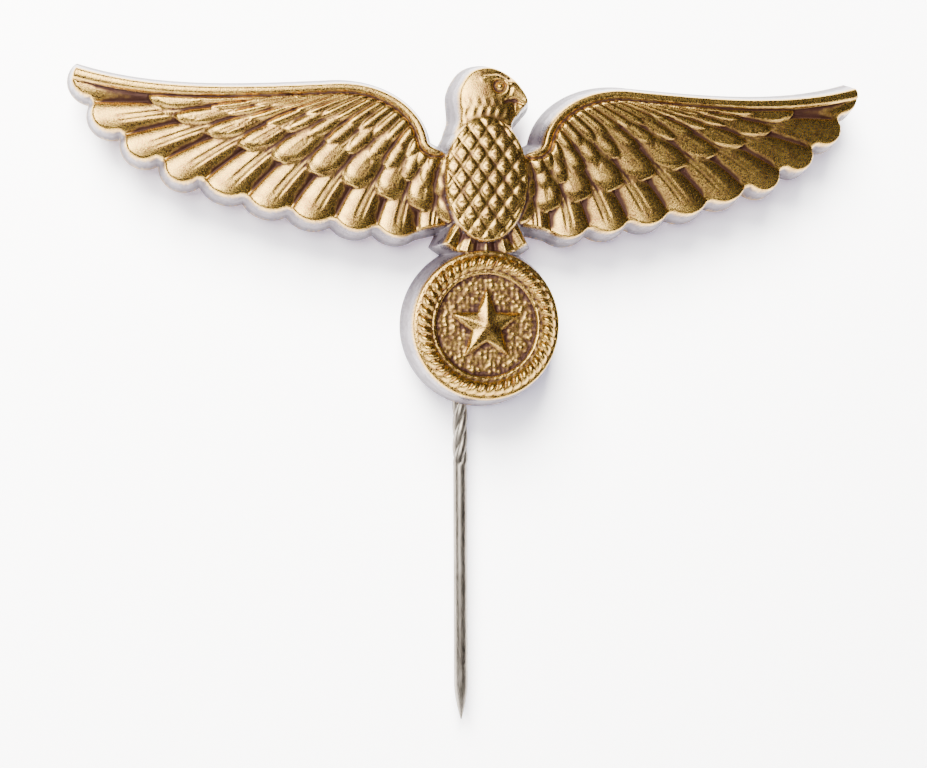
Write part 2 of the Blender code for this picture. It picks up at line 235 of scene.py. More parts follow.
def nearest_of(points, others):
    """For each point, the index of the nearest of the others, and how far it is."""
    tree = kdtree.KDTree(len(others))
    for index, (x, z) in enumerate(others.tolist()):
        tree.insert((x, z, 0.0), index)
    tree.balance()
    found = [tree.find((x, z, 0.0))[1:] for x, z in points.tolist()]
    return np.array([item[0] for item in found]), np.array([item[1] for item in found])


def sideways(along):
    """Unit steps a quarter turn to the left of the given ones."""
    return np.stack([-along[:, 1], along[:, 0]], axis=1) / np.linalg.norm(along, axis=1)[:, None]


def depth_inside(points, ring):
    """How far each point lies inside a ring: negative outside it."""
    ring = divided(counter_clockwise(ring), 0.1)
    along = np.roll(ring, -1, axis=0) - ring
    inward = sideways(along)
    after = nearest_of(points, ring)[0]
    before = (after - 1) % len(ring)
    gaps = []
    for side in (before, after):
        out = points - ring[side]
        share = (out * along[side]).sum(axis=1) / (along[side] ** 2).sum(axis=1)
        gaps.append(out - np.clip(share, 0.0, 1.0)[:, None] * along[side])
    far_before, far_after = (np.linalg.norm(gap, axis=1) for gap in gaps)
    normal = np.where((far_before < far_after)[:, None], inward[before], inward[after])
    at_corner = np.abs(far_before - far_after) < 1e-9
    normal = np.where(at_corner[:, None], inward[before] + inward[after], normal)
    gap = np.where((far_before < far_after)[:, None], gaps[0], gaps[1])
    return np.sign((gap * normal).sum(axis=1)) * np.minimum(far_before, far_after)


def distance_to_line(points, line):
    """How far each point lies from an open line."""
    best = np.full(len(points), 1e9)
    for start, end in zip(line, line[1:]):
        along = end - start
        t = np.clip(((points - start) @ along) / max(along @ along, 1e-12), 0.0, 1.0)
        gap = np.linalg.norm(points - start - t[:, None] * along, axis=1)
        best = np.minimum(best, gap)
    return best


def soft_low(a, b, blend):
    """The lower of two heights, with a rounded change from one to the other."""
    mix = np.clip(0.5 + 0.5 * (b - a) / blend, 0.0, 1.0)
    return b * (1 - mix) + a * mix - blend * mix * (1 - mix)


def soft_high(a, b, blend):
    """The higher of two heights, with a rounded change from one to the other."""
    return -soft_low(-a, -b, blend)


def ramp(value, low, high):
    """0 below low, 1 above high, and a smooth rise between."""
    t = np.clip((value - low) / (high - low), 0.0, 1.0)
    return t * t * (3 - 2 * t)


def ridge(distance, half_width):
    """A rounded bump that falls to nothing at half_width."""
    return np.sqrt(np.clip(1.0 - (distance / half_width) ** 2, 0.0, 1.0))


def cut(distance, width):
    """A fine groove's share of its depth."""
    return np.exp(-((distance / width) ** 2))


def sloping_wall(inside, face, depth):
    """A pressed wall that slopes up to a face, with a rounded shoulder."""
    return soft_low(inside * depth / DRAFT, face, EDGE_ROUNDING)


# Feather rows of a wing. A place on the wing is (u, s): u counts feathers from the
# wing's tip, and s runs along them, 0 at the arm and 1 at the notches.

ARM_START = (19.0, 17.9)
ARM_BEND_OUT = (15.0, 16.9)
ARM_BEND_IN = (8.0, 19.2)
ARM_END = (4.3, 13.2)
FEATHER_BENDS = (-0.05, 0.09)
FEATHER_STEPS = 36
U_STEPS = 330
S_STEPS = 180


def feather_line(u, s):
    """The place on the right wing at feather count u and share s of the way to its tip."""
    arm = np.vstack([bezier((ARM_START, ARM_BEND_OUT, ARM_BEND_IN, ARM_END), 60), ARM_END])
    tips = stretched(spaced(notch_line(), FEATHER_STEPS), TIP_STRETCH)
    count = np.linspace(0.0, WING_TIPS, FEATHER_STEPS + 1)
    root, tip = (
        np.stack([np.interp(u, count, line[:, axis]) for axis in range(2)], axis=-1)
        for line in (spaced(arm, FEATHER_STEPS), tips)
    )
    chord = tip - root
    normal = np.stack([-chord[..., 1], chord[..., 0]], axis=-1)
    bend = np.interp(u, (0.0, 4.0), FEATHER_BENDS)[..., None]
    middle = (root + tip) / 2 + bend * normal
    s = s[..., None]
    return (1 - s) ** 2 * root + 2 * s * (1 - s) * middle + s * s * tip


def feather_places(points):
    """Each point's feather count u and share s, and the width and length of a feather there."""
    u_line = np.linspace(-0.6, WING_TIPS + 0.6, U_STEPS)
    u_grid, s_grid = np.meshgrid(u_line, np.linspace(-0.25, 1.3, S_STEPS))
    u_flat = u_grid.ravel()
    s_flat = s_grid.ravel()
    middle = np.array([0.5])
    step = 0.02
    first, last = (
        feather_line(np.array([u + step]), middle)[0] - feather_line(np.array([u]), middle)[0]
        for u in (0.0, WING_TIPS - step)
    )
    places = feather_line(np.clip(u_flat, 0, WING_TIPS), s_flat)
    places = places + np.minimum(u_flat, 0.0)[:, None] * first / step
    places = places + np.maximum(u_flat - WING_TIPS, 0.0)[:, None] * last / step
    nearest = nearest_of(points, places)[0]
    grid_places = places.reshape(S_STEPS, U_STEPS, 2)
    along_u = np.gradient(grid_places, axis=1) / (u_grid[0, 1] - u_grid[0, 0])
    along_s = np.gradient(grid_places, axis=0) / (s_grid[1, 0] - s_grid[0, 0])
    du = along_u.reshape(-1, 2)[nearest]
    ds = along_s.reshape(-1, 2)[nearest]
    rest = points - places[nearest]
    area = du[:, 0] * ds[:, 1] - du[:, 1] * ds[:, 0]
    area = np.where(np.abs(area) < 1e-6, 1e-6, area)
    u = u_flat[nearest] + (rest[:, 0] * ds[:, 1] - rest[:, 1] * ds[:, 0]) / area
    s = s_flat[nearest] + (du[:, 0] * rest[:, 1] - du[:, 1] * rest[:, 0]) / area
    length = np.maximum(np.linalg.norm(ds, axis=1), 1e-6)
    return u, s, np.abs(area) / length, length


# Rows of overlapping feathers, the long ones first: how far they stand out, feathers
# per long feather, sideways shift, reach along s, roundness of their ends, crown,
# step down to the next feather, and mesh columns across one feather.
Row = namedtuple("Row", "height per_long shift reach round_end crown step columns")
FEATHER_ROWS = (
    Row(2.50, 1.0, 0.0, 9.0, 0.0, 0.36, 0.26, 18),
    Row(2.84, 1.0, 0.5, 0.53, 0.11, 0.30, 0.18, 16),
    Row(3.02, 1.5, 0.0, 0.31, 0.085, 0.26, 0.14, 11),
    Row(3.17, 2.0, 0.4, 0.14, 0.065, 0.22, 0.11, 8),
)
TIP_CLIP = 0.12
BAND_WIDTH = 1.5
BAND_MIDDLE = 0.95


def centred(count):
    """The place within each whole step of a count, from -0.5 to 0.5."""
    return count - np.floor(count) - 0.5


def row_end(u, row):
    """Where a row's feathers end, and the place across each feather, from -0.5 to 0.5."""
    f = centred(u * row.per_long + row.shift)
    return row.reach + row.round_end * np.sqrt(np.clip(1 - (2 * f) ** 2, 0, 1)), f


def one_row(u, s, width, length, row):
    """One row's height, how far its feathers' ends lie ahead, and how far their quills aside."""
    end, f = row_end(u, row)
    height = row.height + row.crown * (1 - (2 * f) ** 2) ** 0.75 - row.step * (f + 0.5)
    height = height - 0.20 * ramp((s - end) * length, -1.2, 0.0) ** 2
    return height, (end - s) * length, f * (width / row.per_long)


def wing_relief(points):
    """The height of the wing's face, from its feathers and the smooth band along its edge."""
    mirrored = np.stack([np.abs(points[:, 0]), points[:, 1]], axis=1)
    out = mirrored[:, 0]
    u, s, width, length = feather_places(mirrored)
    u = np.maximum(u, TIP_CLIP)
    height, _, aside = one_row(u, s, width, length, FEATHER_ROWS[0])
    quill = ramp(s, 0.45, 0.60) * (1 - ramp(s, 0.80, 0.95))
    height = height + quill * (0.05 * cut(aside, 0.07) - 0.11 * cut(np.abs(aside) - 0.15, 0.07))
    for index, row in enumerate(FEATHER_ROWS[1:]):
        over, inside, aside = one_row(u, s, width, length, row)
        quill = ramp(inside, 0.5, 1.1) * (0.06, 0.0, 0.0)[index]
        over = over - quill * cut(np.abs(aside) - 0.10, 0.06)
        covered = ramp(inside, -0.10, 0.04)
        height = height * (1 - covered) + np.maximum(over, height) * covered
    thinning = ramp(out, 10.0, 34.0)
    height = height - 0.40 * thinning
    from_edge = distance_to_line(mirrored, leading_edge())
    band = 2.86 + 0.34 * ridge(from_edge - BAND_MIDDLE, 0.62) - 0.34 * thinning
    groove = 0.22 * cut(from_edge - BAND_WIDTH, 0.12) * ramp(32.0 - out, 0.0, 6.0)
    return np.where(from_edge < BAND_WIDTH, band, height) - groove


def leading_edge():
    """The wing's leading edge, from its shoulder to its tip."""
    inner, outer, _ = wing_curves()
    return stretched(np.vstack([bezier(inner, 14), bezier(outer, 20), outer[3]]), TIP_STRETCH)


SCALE_WIDTH = 1.36
SCALE_LENGTH = 1.95


def breast_relief(points):
    """The height of the breast: a dome of small diamond feathers."""
    across = points[:, 0] - BREAST_CENTRE[0]
    up = points[:, 1] - BREAST_CENTRE[1]
    dome = ridge(np.hypot(across / 3.9, up / 5.6), 1.0)
    fa = centred(across / SCALE_WIDTH + up / SCALE_LENGTH)
    fb = centred(across / SCALE_WIDTH - up / SCALE_LENGTH)
    pillow = (1 - (2 * fa) ** 2) * (1 - (2 * fb) ** 2)
    shaft = cut((fa - fb) * 0.62, 0.07) * ramp(0.5 - np.abs(fa + fb), 0.05, 0.3)
    lattice = 0.24 * pillow**0.55 - 0.06 * shaft
    return 3.05 + 0.78 * dome + lattice * (0.35 + 0.65 * dome)


def tail_relief(points):
    """The height of the tail: five feathers that fan out."""
    across = points[:, 0] - TAIL_CENTRE[0]
    down = TAIL_CENTRE[1] - points[:, 1]
    turn = np.arctan2(across, np.maximum(down, 0.01))
    f = centred(turn / (2 * TAIL_HALF_ANGLE) * TAIL_FEATHERS + TAIL_FEATHERS / 2)
    feather = np.hypot(across, down) * 2 * TAIL_HALF_ANGLE / TAIL_FEATHERS
    height = 2.75 + 0.35 * np.clip(1 - (2 * f) ** 2, 0, 1) ** 0.7
    return height + 0.06 * cut(f * feather, 0.10) - 0.05 * cut((np.abs(f) - 0.16) * feather, 0.08)


EYE = np.array([1.05, CROWN - 2.15])
EYE_RADIUS = 0.42
BEAK = ((1.3, -2.5), (2.3, -2.35), (3.1, -2.9), (3.3, -3.7))
MOUTH = ((1.5, -3.35), (2.3, -3.2), (2.9, -3.5))
CERE = ((1.75, -1.7), (1.95, -2.3), (1.75, -3.1))
BROW = ((-0.2, -1.55), (0.8, -1.45), (1.9, -1.95))


def head_relief(points):
    """The height of the head: a rounded skull, brow, eye, and a hooked beak."""

    def from_line(corners):
        return distance_to_line(points, np.array(corners) + [0.0, CROWN])

    across = points[:, 0]
    up = points[:, 1] - CROWN
    skull = ridge(np.hypot((across - 0.1) / 2.7, (up + 2.9) / 3.1), 1.0)
    neck = ridge(across / 2.7, 1.0) * ramp(-up, 2.5, 4.5)
    height = 2.75 + 0.80 * np.maximum(skull, 0.85 * neck)
    height = soft_high(height, 2.95 + 0.62 * ridge(from_line(BEAK), 0.95), 0.10)
    height = height - 0.24 * cut(from_line(MOUTH), 0.11)
    height = height - 0.13 * cut(from_line(CERE), 0.10)
    height = height + 0.20 * cut(from_line(BROW), 0.20)
    from_eye = np.linalg.norm(points - EYE, axis=1)
    height = height - 0.20 * cut(from_eye - EYE_RADIUS, 0.13)
    height = height + 0.14 * ridge(from_eye, EYE_RADIUS * 0.8)
    level = points[:, 1]
    barbs = np.sin(across * 9.0 + np.sin(level * 2.1) * 1.5) * np.sin(level * 3.4 + 0.8)
    return height + 0.035 * barbs * ramp(-up, 2.6, 4.0)


ROPE_RADIUS = 5.02
ROPE_HALF_WIDTH = 0.62
ROPE_TURNS = 44
FIELD_RADIUS = 4.20
FIELD_HEIGHT = 2.95
FIELD_EDGE = 0.11
LAND_HEIGHT = 3.22
STAR_RADIUS = 3.05
STAR_WAIST = 0.45
GRAIN_PITCH = 0.36
GRAIN_RADIUS = 0.21


def medallion_relief(points):
    """The height of the medallion: a rope edge, a stippled field and a plain star."""
    radius = np.hypot(points[:, 0], points[:, 1])
    turn = np.arctan2(points[:, 1], points[:, 0])
    from_rope = radius - ROPE_RADIUS
    f = centred(turn * ROPE_TURNS / (2 * np.pi) + from_rope * 0.62)
    strand = np.clip(1 - (2 * f) ** 2, 0, 1) ** 0.6
    rope = 3.05 + ridge(from_rope, ROPE_HALF_WIDTH) * (0.30 + 0.38 * strand)
    height = np.where(np.abs(from_rope) < ROPE_HALF_WIDTH, rope, LAND_HEIGHT)
    bead = 3.10 + 0.22 * ridge(radius - FIELD_RADIUS - 0.06, 0.17)
    height = np.where(radius < FIELD_RADIUS + 0.23, bead, height)
    field = FIELD_HEIGHT + stipple(points)
    height = np.where(radius < FIELD_RADIUS - FIELD_EDGE, field, height)
    star = depth_inside(points, star_outline(STAR_RADIUS, STAR_WAIST))
    rise = 0.34 * ramp(star, -0.05, 0.16) + 0.30 * np.clip(star, 0, 1.2)
    return np.where(star > -0.05, np.maximum(FIELD_HEIGHT - 0.02 + rise, height), height)


def stipple(points):
    """Small rounded grains, punched close together, for the medallion's field."""
    rng = np.random.default_rng(7)
    reach = int(FIELD_RADIUS / GRAIN_PITCH) + 2
    total = np.zeros(len(points))
    near = np.hypot(points[:, 0], points[:, 1]) < FIELD_RADIUS + 0.3
    some = points[near]
    grains = np.zeros(len(some))
    cells = 2 * reach + 1
    nudge = rng.uniform(-0.32, 0.32, (cells, cells, 2))
    rise = rng.uniform(0.05, 0.14, (cells, cells))
    cell = np.clip(np.round(some / GRAIN_PITCH).astype(int) + reach, 1, cells - 2)
    for side in (-1, 0, 1):
        for level in (-1, 0, 1):
            c, r = (cell + [side, level]).T
            centre = (np.stack([c, r], axis=1) - reach + nudge[c, r]) * GRAIN_PITCH
            gap = np.hypot(*(some - centre).T)
            grains = np.maximum(grains, rise[c, r] * ridge(gap, GRAIN_RADIUS))
    total[near] = grains
    return total


TIP_STRETCH = tip_stretch()
WING_RING = stretched(wing_outline(), TIP_STRETCH)
TAIL_RING = tail_outline()
HEAD_RING = head_outline()
BREAST_RING = ellipse(BREAST_CENTRE, *BREAST_HALF, 160)
MEDALLION_RING = ellipse((0.0, 0.0), MEDALLION_RADIUS, MEDALLION_RADIUS, 240)


WING_DEPTH = 3.2


def face_height(points):
    """How far the pressed front stands out from the back rim, and each region's face there."""
    mirrored = np.stack([np.abs(points[:, 0]), points[:, 1]], axis=1)
    walls = np.zeros(len(points))
    faces = np.zeros(len(points))
    regions = (
        (WING_RING, mirrored, wing_relief, WING_DEPTH),
        (TAIL_RING, points, tail_relief, 3.4),
        (HEAD_RING, points, head_relief, 3.7),
        (BREAST_RING, points, breast_relief, 4.1),
        (MEDALLION_RING, points, medallion_relief, 3.8),
    )
    for ring, place, relief, depth in regions:
        inside = depth_inside(place, ring)
        here = inside > -0.02
        face = np.zeros(len(points))
        face[here] = relief(points[here])
        height = np.where(here, sloping_wall(np.maximum(inside, 0.0), face, depth), 0.0)
        higher = height > walls
        walls = np.where(higher, height, walls)
        faces = np.where(higher, face, faces)
    return np.maximum(walls, 0.0), faces


# The pressed shell


def region_rings():
    """Every region's outline on the back rim, both wings included."""
    left = WING_RING * [-1.0, 1.0]
    rings = (WING_RING, left[::-1], TAIL_RING, HEAD_RING, BREAST_RING, MEDALLION_RING)
    return [respaced_ring(ring, OUTLINE_SPACING) for ring in rings]


def joined_outline():
    """The one outline round all the regions together."""
    corners = []
    faces = []
    for ring in region_rings():
        ring = counter_clockwise(ring)
        faces.append(list(range(len(corners), len(corners) + len(ring))))
        corners.extend(Vector(corner) for corner in ring)
    verts, _, triangles, *_ = delaunay_2d_cdt(corners, [], faces, 1, 1e-5, False)
    triangles = np.array(triangles)
    middles = np.array([tuple(vert) for vert in verts])[triangles].mean(axis=1)
    covered = np.max([depth_inside(middles, ring) for ring in region_rings()], axis=0) > 0
    kept = triangles[covered].tolist()
    sides = dict.fromkeys(side for a, b, c in kept for side in ((a, b), (b, c), (c, a)))
    border = {a: b for a, b in sides if (b, a) not in sides}
    start = max(border, key=lambda index: verts[index].x)
    ring = [start]
    while border[ring[-1]] != start:
        ring.append(border[ring[-1]])
    return respaced_ring(np.array([verts[index] for index in ring]), OUTLINE_SPACING)


def triangle_grid(low, high, spacing):
    """Points of an even triangular grid over a rectangle."""
    rows = np.arange(low[1], high[1], spacing * math.sqrt(3) / 2)
    columns = np.arange(low[0], high[0], spacing)
    grid_x, grid_z = np.meshgrid(columns, rows)
    grid_x = grid_x + (np.arange(len(rows)) % 2)[:, None] * spacing / 2
    return np.stack([grid_x.ravel(), grid_z.ravel()], axis=1)


def beside(line, gaps, spacing):
    """Points along both sides of an open line, at the given distances from it."""
    length = np.linalg.norm(np.diff(line, axis=0), axis=1).sum()
    even = spaced(line, max(1, round(length / spacing)))
    along = np.gradient(even, axis=0)
    return np.vstack([even + sideways(along) * gap for gap in gaps])


STEP_CLEARANCE = 0.018
ALONG_SPACING = 0.0145
END_NUDGES = (-0.004, 0.003, 0.010)


def feather_points():
    """Points over the right wing in line with its feathers, close on both sides of each step."""
    runs = []
    for row, cover in zip(FEATHER_ROWS, (*FEATHER_ROWS[1:], None)):

        def uncovered(u, s):
            return s > (row_end(u, cover)[0] + STEP_CLEARANCE if cover else -1.0)

        side = 0.02 * row.per_long
        inner = np.linspace(-0.5, 0.5, row.columns + 1)[1:-1]
        f = np.concatenate(([side - 0.5], inner, [0.5 - side]))
        count = WING_TIPS * row.per_long + row.shift
        feathers = np.arange(math.floor(row.shift), math.ceil(count))
        u = ((feathers[:, None] + 0.5 + f).ravel() - row.shift) / row.per_long
        u = u[(u >= 0.0) & (u <= WING_TIPS)]
        low = cover.reach - 0.02 if cover else -0.2
        along = np.arange(low, min(row.reach + row.round_end, 1.16), ALONG_SPACING)
        u_all, s_all = (grid.ravel() for grid in np.meshgrid(u, along))
        top = (s_all < row_end(u_all, row)[0] - 0.009) & uncovered(u_all, s_all)
        runs.append(feather_line(u_all[top], s_all[top]))
        if row is not FEATHER_ROWS[0]:
            for nudge in END_NUDGES:
                ends = row_end(u, row)[0] + nudge
                clear = uncovered(u, ends)
                runs.append(feather_line(u[clear], ends[clear]))
    points = np.vstack(runs)
    edge = leading_edge()
    points = points[distance_to_line(points, edge) > BAND_WIDTH + 0.1]
    return np.vstack([points, beside(edge, (-BAND_WIDTH - 0.04, -BAND_WIDTH + 0.04), 0.12)])


def medallion_points():
    """Points along the rings and the star of the medallion."""
    runs = []
    edges = (ROPE_RADIUS - ROPE_HALF_WIDTH, ROPE_RADIUS + ROPE_HALF_WIDTH)
    for radius in (*edges, FIELD_RADIUS - FIELD_EDGE):
        ring = ellipse((0.0, 0.0), radius, radius, 200)
        runs.append(beside(np.vstack([ring, ring[:1]]), (-0.035, 0.035), 0.11))
    star = star_outline(STAR_RADIUS, STAR_WAIST)
    for corner, after in zip(star, np.roll(star, -1, axis=0)):
        runs.append(beside(np.stack([corner, after]), (-0.06, 0.06), 0.10))
        runs.append(spaced(np.stack([corner * 0.97, corner * 0.02]), 30))
    return np.vstack(runs)


def front_points(outline):
    """The points inside an outline: first those that follow the relief, then an even fill."""
    wing = feather_points()
    others = (BREAST_RING, TAIL_RING, HEAD_RING)
    wing = wing[np.max([depth_inside(wing, ring) for ring in others], axis=0) < 0.1]
    relief = np.vstack([wing, wing * [-1.0, 1.0], medallion_points()])
    relief = relief[depth_inside(relief, outline) > 0.06]
    even = triangle_grid(outline.min(axis=0), outline.max(axis=0), FINE_SPACING)
    even = even[depth_inside(even, outline) > 0.6 * FINE_SPACING]
    return np.vstack([relief, even[nearest_of(even, relief)[1] > 0.82 * FINE_SPACING]])


def back_points(outline):
    """An even, wider fill for the smooth back."""
    even = triangle_grid(outline.min(axis=0), outline.max(axis=0), COARSE_SPACING)
    return even[depth_inside(even, outline) > 0.6 * COARSE_SPACING]


def triangulated(outline, inner):
    """Points and triangles over an outline and the points inside it."""
    corners = [Vector(corner) for corner in np.vstack([outline, inner])]
    ring = list(range(len(outline)))
    verts, _, triangles, *_ = delaunay_2d_cdt(corners, [], [ring], 1, 1e-6, False)
    points = np.array([tuple(vert) for vert in verts])
    triangles = np.array(triangles)
    middles = points[triangles].mean(axis=1)
    return points, triangles[depth_inside(middles, outline) > 0]


def spread(values, pairs, count, rounds):
    """Values on points, evened out with their neighbours a number of times."""
    share = np.bincount(pairs.ravel(), minlength=count) + 1.0
    for _ in range(rounds):
        total = values.copy()
        total += np.bincount(pairs[:, 0], weights=values[pairs[:, 1]], minlength=count)
        total += np.bincount(pairs[:, 1], weights=values[pairs[:, 0]], minlength=count)
        values = total / share
    return values


def neighbour_pairs(triangles):
    """Each side of the triangles once."""
    sides = np.vstack([triangles[:, (0, 1)], triangles[:, (1, 2)], triangles[:, (2, 0)]])
    return np.unique(np.sort(sides, axis=1), axis=0)


def front_surface(outline):
    """The front's points, heights and triangles, and the values its finish reads."""
    front, triangles = triangulated(outline, front_points(outline))
    height, face = face_height(front)
    height = np.where(depth_inside(front, outline) < 1e-4, 0.0, height)
    pairs = neighbour_pairs(triangles)
    hollow = np.clip((spread(height, pairs, len(front), 26) - height) / 0.16, 0, 1)
    crest = np.clip((height - spread(height, pairs, len(front), 8)) / 0.07, 0, 1)
    wall = 1.0 - ramp(height - face, -0.55, -0.12)
    low_field = 1.0 - ramp(height, FIELD_HEIGHT - 0.02, FIELD_HEIGHT + 0.16)
    in_field = np.hypot(front[:, 0], front[:, 1]) < FIELD_RADIUS + 0.1
    hollow = np.maximum(hollow, 0.62 * low_field * in_field)
    values = {"hollow": hollow, "crest": crest, "wall": wall, "behind": np.zeros(len(front))}
    return front, np.minimum(height, -SHELL_LOW.y - 0.02), triangles, values


def back_surface(outline):
    """The back's points, depths and triangles: the front's hollow side, softened."""
    back, triangles = triangulated(outline, back_points(outline))
    outer, face = face_height(back)
    inside = depth_inside(back, outline)
    even = spread(face, neighbour_pairs(triangles), len(back), 3)
    floor = np.minimum(even, face + 0.1) - SHEET
    slope = (inside - SHEET) * WING_DEPTH / DRAFT
    inner = soft_low(slope, np.minimum(floor, outer - 0.15), EDGE_ROUNDING)
    return back, np.where(inside < SHEET, 0.0, np.maximum(inner, 0.0)), triangles


BACK_VALUES = {"hollow": 0.35, "crest": 0.0, "wall": 0.0, "behind": 1.0}


def make_shell(brass):
    """The struck shell: relief in front, its softened negative behind, joined at the rim."""
    outline = counter_clockwise(joined_outline())
    front, height, front_tris, values = front_surface(outline)
    back, inner, back_tris = back_surface(outline)
    raised = np.stack([front[:, 0], -height, front[:, 1]], axis=1)
    sunk = np.stack([back[:, 0], -inner, back[:, 1]], axis=1)
    points = np.vstack([raised, sunk]) * MM
    faces = front_tris.tolist() + (back_tris[:, ::-1] + len(front)).tolist()
    mesh = bpy.data.meshes.new("pressed_shell")
    mesh.from_pydata(points.tolist(), [], faces)
    for name, behind in BACK_VALUES.items():
        layer = mesh.attributes.new(name, "FLOAT", "POINT")
        both = np.concatenate([values[name], np.full(len(back), behind)])
        layer.data.foreach_set("value", both.astype(np.float32))
    shell = bpy.data.objects.new("pressed_shell", mesh)
    bpy.context.scene.collection.objects.link(shell)
    close_rim(mesh)
    mesh.shade_smooth()
    mesh.materials.append(brass)
    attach(shell, "root")
    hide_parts("badge_shell")


def close_rim(mesh):
    """Joins the front and the back along the rim."""
    solid = bmesh.new()
    solid.from_mesh(mesh)
    rim = [vert for vert in solid.verts if vert.is_boundary]
    bmesh.ops.remove_doubles(solid, verts=rim, dist=0.002 * MM)
    solid.to_mesh(mesh)
    solid.free()


# Pin, solder and disc

TWIST_TOP = -1.6
TWIST_BOTTOM = -11.6
TWIST_PITCH = 5.2
FLUTES = 3
FLUTE_POINTS = 16
FLUTE_DEPTH = 0.20
FLUTE_SWELL = 0.10
FADE_RINGS = 4
TWIST_RINGS = 76
POINT_LENGTH = 3.2
POINT_RADIUS = 0.05
POINT_RINGS = 14
BEAD_SWEEP = math.radians(250.0)
BEAD_Y = -0.14
BEAD_HALF_HEIGHT = 0.24
DISC_STEPS = ((0.55, 0.0), (0.06, -0.05), (0.30, 0.0), (0.06, 0.05))
ORIGIN = (0.0, 0.0, 0.0)


def start_piece(name, add, **settings):
    """Adds a primitive with its place kept in its mesh, opened with nothing picked."""
    bpy.ops.object.select_all(action="DESELECT")
    add(**settings)
    piece = bpy.context.object
    piece.name = name
    bpy.ops.object.transform_apply(location=True, rotation=True, scale=True)
    bpy.ops.object.mode_set(mode="EDIT")
    bpy.ops.mesh.select_all(action="DESELECT")
    return piece


def pick(piece, test):
    """Picks the points for which the test holds; the test is given millimetres."""
    mesh = bmesh.from_edit_mesh(piece.data)
    bpy.ops.mesh.select_all(action="DESELECT")
    for vert in mesh.verts:
        if test(vert.co / MM):
            vert.select_set(True)
    mesh.select_flush(True)
    bmesh.update_edit_mesh(piece.data)


def finish_piece(piece, material, node, lumps=None):
    """Closes the edit, adds lumps of a given size and height if asked, and hands it over."""
    bpy.ops.mesh.select_all(action="SELECT")
    bpy.ops.mesh.normals_make_consistent(inside=False)
    bpy.ops.object.mode_set(mode="OBJECT")
    if lumps:
        size, strength = lumps
        texture = bpy.data.textures.new("lumps", "CLOUDS")
        texture.noise_scale = size * MM
        modifier = piece.modifiers.new("lumps", "DISPLACE")
        modifier.texture = texture
        modifier.strength = strength * MM
        bpy.ops.object.modifier_apply(modifier="lumps")
        bpy.data.textures.remove(texture)
    bpy.ops.object.shade_smooth_by_angle(angle=math.radians(40.0))
    piece.data.materials.append(material)
    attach(piece, "root")
    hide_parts(node)


def raise_ring(middle, rise, size=1.0, turn=0.0):
    """Extrudes the picked ring upwards, then scales and turns it about the pin's middle."""
    bpy.ops.mesh.extrude_region_move(TRANSFORM_OT_translate={"value": (0.0, 0.0, rise * MM)})
    if size != 1.0:
        bpy.ops.transform.resize(value=(size, size, 1.0), center_override=middle)
    if turn:
        bpy.ops.transform.rotate(value=-turn, orient_axis="Z", center_override=middle)


def shape_flutes(pin, middle, height, turned, before, after):
    """Moves the top ring's points in and out, from one share of the flutes' depth to another."""
    half = FLUTE_POINTS // 2

    def offset(point):
        around = math.atan2(point.y - middle.y / MM, point.x - middle.x / MM) - turned
        phase = (around * FLUTES + math.pi) % (2 * math.pi) - math.pi
        return round(abs(phase) / math.pi * half)

    for place in range(half + 1):
        rise = math.sin(math.pi / 2 * place / half) ** 0.7
        change = (FLUTE_DEPTH + FLUTE_SWELL) * rise - FLUTE_DEPTH
        factor = (1.0 + after * change) / (1.0 + before * change)
        pick(pin, lambda point: abs(point.z - height) < 0.001 and offset(point) == place)
        bpy.ops.transform.resize(value=(factor, factor, 1.0), center_override=middle)
    pick(pin, lambda point: abs(point.z - height) < 0.001)


def make_pin(nickel):
    """The stick pin: a ground point, a round shank, a twisted fluted part and a plain end."""
    full = (PIN_HIGH.x - PIN_LOW.x) / 2
    middle = (PIN_LOW + PIN_HIGH) / 2 * MM
    pin = start_piece(
        "stick_pin", bpy.ops.mesh.primitive_circle_add,
        vertices=FLUTES * FLUTE_POINTS, radius=POINT_RADIUS * MM, fill_type="NGON",
        location=(middle.x, middle.y, PIN_LOW.z * MM),
    )
    bpy.ops.mesh.select_all(action="SELECT")
    height, size = PIN_LOW.z, POINT_RADIUS
    for step in range(1, POINT_RINGS + 1):
        share = (step / POINT_RINGS) ** 1.4
        radius = POINT_RADIUS + (full - POINT_RADIUS) * math.sin(math.pi / 2 * share)
        raise_ring(middle, PIN_LOW.z + POINT_LENGTH * share - height, radius / size)
        height, size = PIN_LOW.z + POINT_LENGTH * share, radius
    raise_ring(middle, TWIST_BOTTOM - height)
    rise = (TWIST_TOP - TWIST_BOTTOM) / TWIST_RINGS
    turn = 2 * math.pi * rise / TWIST_PITCH
    before = 0.0
    for ring in range(1, TWIST_RINGS + 1):
        raise_ring(middle, rise, turn=turn)
        after = min(1.0, ring / FADE_RINGS, (TWIST_RINGS - ring) / FADE_RINGS)
        if after != before:
            shape_flutes(pin, middle, TWIST_BOTTOM + ring * rise, ring * turn, before, after)
        before = after
    raise_ring(middle, PIN_HIGH.z - TWIST_TOP)
    finish_piece(pin, nickel, "pin")


def make_mound(solder):
    """The lumpy mound of solder that holds the pin's top end to the disc."""
    middle = (SOLDER_LOW + SOLDER_HIGH) / 2
    half = (SOLDER_HIGH - SOLDER_LOW) / 2
    mound = start_piece(
        "solder_mound", bpy.ops.mesh.primitive_uv_sphere_add,
        segments=64, ring_count=40, radius=MM, location=(middle.x * MM, 0.0, middle.z * MM),
        scale=(0.95 * half.x, 0.95 * SOLDER_HIGH.y, 0.95 * half.z),
    )
    pick(mound, lambda point: point.y < 0.001)
    bpy.ops.transform.resize(value=(1.0, 0.0, 1.0), center_override=(0.0, 0.01 * MM, 0.0))
    pick(mound, lambda point: point.y < 0.02)
    bpy.ops.transform.resize(value=(1.07, 1.0, 1.05), center_override=middle * MM)
    finish_piece(mound, solder, "pin_solder", (0.9, 0.16))


